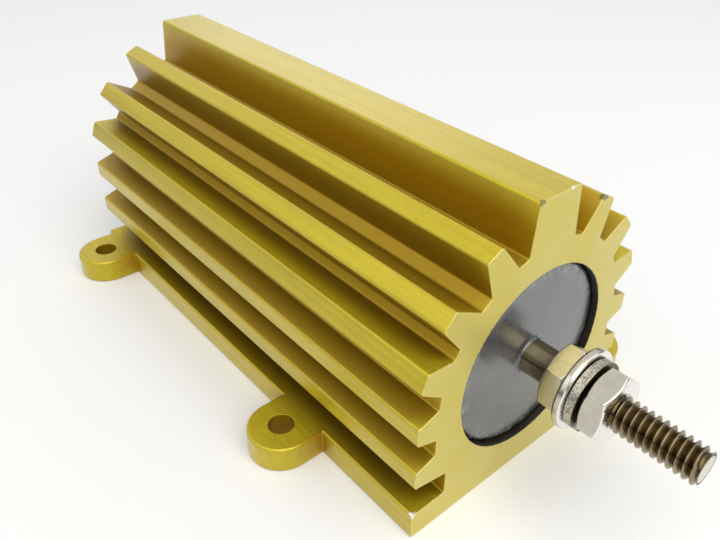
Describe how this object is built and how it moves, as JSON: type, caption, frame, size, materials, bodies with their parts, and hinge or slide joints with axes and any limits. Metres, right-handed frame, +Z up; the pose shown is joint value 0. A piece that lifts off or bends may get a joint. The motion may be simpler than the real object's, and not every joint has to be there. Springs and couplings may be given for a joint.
{
  "type": "aluminium housed power resistor",
  "caption": "Wirewound resistance element sealed in a finned aluminium extrusion with staggered mounting ears and a threaded stud terminal at each end.",
  "frame": {"origin": "middle of the mounting face, under the middle of the housing", "axes": "+X along the terminal studs towards the front terminal, +Z up out of the mounting face"},
  "size_m": [0.1766, 0.0762, 0.0555],
  "materials": {
    "anodised_aluminium": "satin",
    "ceramic": "matte",
    "resistance_wire": "satin",
    "moulded_cement": "matte",
    "cap_metal": "satin",
    "stud_metal": "satin",
    "seal": "matte",
    "nickel_plate": "polished"
  },
  "bodies": {
    "root": {"housing": "anodised_aluminium", "ceramic_core": "ceramic", "resistance_winding": "resistance_wire", "moulded_insulation": "moulded_cement", "front_end_cap": "cap_metal", "front_terminal_stud": "stud_metal", "front_end_seal": "seal", "front_inner_nut": "nickel_plate", "front_flat_washer": "nickel_plate", "front_lock_washer": "nickel_plate", "front_outer_nut": "nickel_plate", "rear_end_cap": "cap_metal", "rear_terminal_stud": "stud_metal", "rear_end_seal": "seal", "rear_inner_nut": "nickel_plate", "rear_flat_washer": "nickel_plate", "rear_lock_washer": "nickel_plate", "rear_outer_nut": "nickel_plate"}
  },
  "joints": []
}
